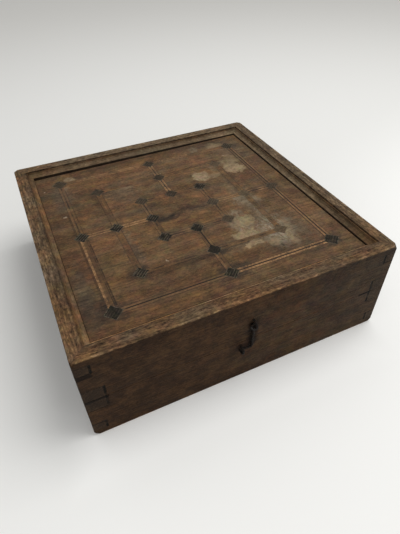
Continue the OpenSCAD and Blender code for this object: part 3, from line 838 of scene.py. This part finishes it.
def diamond_finish():
    """Bog oak diamonds, brown black, scored by fine slanting cuts that hold pale dust, with a
    worn edge. Some are rubbed so far that they are as brown as the board."""
    f = Finish("bog_oak_diamonds")
    fine = f.noise(f.mm, 0.50, 4.0, 0.68)
    mottle = f.noise(f.mm, 0.16, 4.0, 0.65)
    slant = f.plus(f.times(f.minus(f.y, f.x), 0.7071), f.times(fine, 0.8))
    cut = f.size(f.minus(f.sum("FRACT", f.times(slant, 1.0 / 2.0)), 0.5))
    score = f.times(f.fade(cut, 0.30, 0.46), f.fade(mottle, 0.40, 0.56))
    dirt = f.most_of(f.spot(cx, cy, 9.0, 9.0, 0.3) for cx, cy in filled)
    score = f.times(score, f.minus(1.0, f.times(dirt, 0.7)))
    rim = f.times(f.line(diamond_edge(f), 0.5, 1.2), f.fade(fine, 0.42, 0.56))
    tone = f.plus(0.43, f.times(f.minus(fine, 0.5), 1.3))
    tone = f.plus(tone, f.times(f.minus(mottle, 0.5), 0.8))
    colour = f.scale_of(tone, bog_tones)
    colour = f.blend(f.times(f.most(score, rim), 0.6), colour, (0.130, 0.108, 0.076))
    colour = f.tinted(colour, 0.25, 0.6)
    wood, _, worn = wide_board(f, 1)
    brown = oak_colour(f, wood, f.plus(f.minus(worn, f.times(score, 0.15)), 0.02), 0.2, 1.0)
    brown = f.blend(0.5, brown, f.scale_of(f.plus(worn, 0.02), grey_tones))
    gone = f.most_of(f.times(f.spot(cx, cy, 8.0, 8.0, 0.3), by) for cx, cy, by in rubbed_diamonds)
    gone = f.times(gone, f.fade(fine, 0.34, 0.50, 0.65, 1.0))
    colour = f.blend(gone, colour, brown)
    height = f.minus(f.times(fine, 0.5), f.times(score, 0.8))
    return f.finish(colour, 0.65, height, 0.25, Specular_IOR_Level=0.08)


def inlay_finish(name, tones, base, along, seed, dirty=0.25):
    """Veneer let into a board: its own grain, and dirt in patches."""
    f = Finish(name)
    wood = timber(f, along, (30.0, -200.0), 1.7, seed)
    mottle = f.noise(f.mm, 0.06, 5.0, 0.66)
    tone = oak_tone(f, wood, f.plus(base, f.times(f.minus(mottle, 0.5), 0.60)), fine=0.22)
    colour = f.scale_of(tone, tones)
    colour = f.blend(f.fade(mottle, 0.44, 0.66, 0.0, dirty), colour, (0.060, 0.042, 0.028))
    scuff = f.fade(f.noise(f.mm, (0.05, 0.22, 0.22), 5.0, 0.7), 0.56, 0.68, 0.0, 0.35)
    colour = f.tinted(f.blend(scuff, colour, (0.150, 0.105, 0.062)), 0.18, 0.35)
    rough = f.plus(0.48, f.times(mottle, 0.25))
    return f.finish(colour, rough, oak_relief(f, wood), 0.18, Specular_IOR_Level=0.2)


def iron_finish(name, rust, bright):
    """Hammered wrought iron, black brown with rust, rubbed bright on its high places."""
    f = Finish(name)
    dents = f.noise(f.mm, 0.35, 3.0, 0.55)
    grit = f.noise(f.mm, 2.2, 4.0, 0.65)
    scale = f.noise(f.mm, 0.8, 4.0, 0.6)
    dark = f.blend(f.fade(grit, 0.35, 0.65), (0.004, 0.003, 0.003), (0.014, 0.012, 0.010))
    red = f.blend(f.fade(grit, 0.3, 0.7), (0.034, 0.016, 0.008), (0.090, 0.042, 0.019))
    colour = f.blend(f.times(f.fade(scale, 0.48, 0.66), rust), dark, red)
    shine = f.times(f.fade(scale, 0.40, 0.30), bright)
    colour = f.blend(shine, colour, (0.26, 0.26, 0.24))
    f.feed(f.skin.inputs["Metallic"], f.fade(scale, 0.46, 0.34, 0.0, 0.80))
    rough = f.minus(0.70, f.times(shine, 0.36))
    return f.finish(colour, rough, f.plus(dents, f.times(grit, 0.3)), 0.22, Specular_IOR_Level=0.12)


# ---------------------------------------------------------------- dressing the pieces

grain = {"front": "x", "back": "x", "left": "y", "right": "y"}
finishes = {
    "lid_panel": panel_finish("lid_board_oak", 1, True),
    "base_panel": panel_finish("base_board_oak", 6, False),
    "mill_light_strings": string_finish("light_strings", True),
    "mill_dark_strings": string_finish("dark_strings", False),
    "mill_diamonds": diamond_finish(),
    "draughts_light_squares": inlay_finish("pear_squares", pale_tones, 0.50, "x", 3),
    "draughts_dark_squares": inlay_finish("bog_oak_squares", bog_tones, 0.55, "x", 8, 0.35),
    "draughts_border": inlay_finish("pear_border", pale_tones, 0.42, "x", 12, 0.4),
}
for turn, (side, along) in enumerate(grain.items()):
    seed = 3 * turn
    warm = {"front": 0.4, "back": 0.6, "left": 0.7, "right": 0.5}[side]
    rim = {"front": -0.01, "back": 0.065, "left": -0.01, "right": 0.02}[side]
    # foot: painted shade on the wall below each lid board's moulding, or painted light on its lip
    # where below nothing
    foot = {"front": -0.10, "back": 0.42, "left": 0.06, "right": 0.42}[side]
    finishes[f"lid_{side}_board"] = board_finish(
        f"lid_{side}_oak", along, seed + 2, True, rim, warm, foot
    )
    # the base boards' last number is the painted shade on the wall below their moulding
    finishes[f"base_{side}_board"] = board_finish(
        f"base_{side}_oak", along, seed + 14, False, 0.0, 0.4, 0.3
    )
for tray in ("base", "lid"):
    finishes[f"{tray}_dark_points"] = inlay_finish(f"{tray}_bog_points", bog_tones, 0.6, "y", 5, 0.3)
    finishes[f"{tray}_light_points"] = inlay_finish(f"{tray}_pear_points", pale_tones, 0.5, "y", 9)
latch_iron = iron_finish("latch_iron", 0.25, 0.55)
hinge_iron = iron_finish("hinge_iron", 0.7, 0.35)
for node in ("hook_staple", "catch_staple", "latch_hook"):
    finishes[node] = latch_iron
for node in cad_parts:
    if "leaf" in node or "pin" in node or "screws" in node:
        finishes[node] = hinge_iron

for node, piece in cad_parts.items():
    piece.data.materials.clear()
    piece.data.materials.append(finishes[node])


# ---------------------------------------------------------------- floor and light


def lay_floor():
    """A wide pale sheet of paper under everything, with painted light brighter in front of the box and
    to its right, painted shade greyer away from the box, and as pale as the room where it ends."""
    side = 12.0
    grid = np.linspace(-side, side, 5)
    x, y = np.meshgrid(grid, grid, indexing="ij")
    points = np.stack([x, y, np.zeros_like(x)], -1).reshape(-1, 3)
    n = len(grid)
    i, j = np.meshgrid(np.arange(n - 1), np.arange(n - 1), indexing="ij")
    first = (i * n + j).ravel()
    quads = np.stack([first, first + n, first + n + 1, first + 1], -1)
    mesh = bpy.data.meshes.new("paper_floor")
    mesh.from_pydata(points.tolist(), [], quads.tolist())
    floor = bpy.data.objects.new("paper_floor", mesh)
    bpy.context.scene.collection.objects.link(floor)
    f = Finish("pale_paper")
    far = f.sum("SQRT", f.plus(f.times(f.x, f.x), f.times(f.y, f.y)))
    # painted shade: the floor darkens away from the box
    shade = f.fade(far, 350.0, 1300.0)
    # painted light: the floor is brighter in front of the box and to its right
    near = f.fade(f.minus(f.times(f.x, 0.35), f.y), -80.0, 175.0)
    colour = f.blend(near, (0.755, 0.762, 0.755), (0.880, 0.888, 0.883))
    # painted light: lifts the box's shadow on the floor just in front of it
    front = f.window(-136.0, 100.0, -150.0, -100.0, 36.0)
    colour = f.blend(f.times(front, 0.9), colour, (0.930, 0.938, 0.935))
    colour = f.blend(shade, colour, (0.66, 0.658, 0.642))
    colour = f.blend(f.fade(far, 1900.0, 5500.0), colour, (0.96, 0.955, 0.94))
    f.finish(colour, 0.9, None, Specular_IOR_Level=0.1)
    mesh.materials.append(f.material)


def hang_lamp(name, place, aim, wide, watts, colour):
    """A soft square lamp at a place, facing a point."""
    lamp = bpy.data.lights.new(name, "AREA")
    lamp.shape = "SQUARE"
    lamp.size = wide
    lamp.energy = watts
    lamp.color = colour
    body = bpy.data.objects.new(name, lamp)
    body.location = place
    away = np.array(place, float) - np.array(aim, float)
    flat = math.hypot(away[0], away[1])
    body.rotation_euler = Euler(
        (math.atan2(flat, away[2]), 0.0, math.atan2(away[0], -away[1])), "XYZ"
    )
    bpy.context.scene.collection.objects.link(body)


def light_room():
    """Even pale daylight from all round, and one broad soft lamp overhead, to the right."""
    world = bpy.data.worlds.new("daylight")
    bpy.context.scene.world = world
    world.use_nodes = True
    back = world.node_tree.nodes["Background"]
    back.inputs[0].default_value = (1.0, 0.99, 0.97, 1.0)
    back.inputs[1].default_value = 0.62
    hang_lamp("ceiling_lamp", (0.55, -0.12, 1.3), (0.0, 0.0, 0.0), 0.9, 11.0, (1.0, 0.985, 0.96))


stand_camera()
lay_floor()
light_room()
bpy.context.scene.view_settings.view_transform = "Standard"
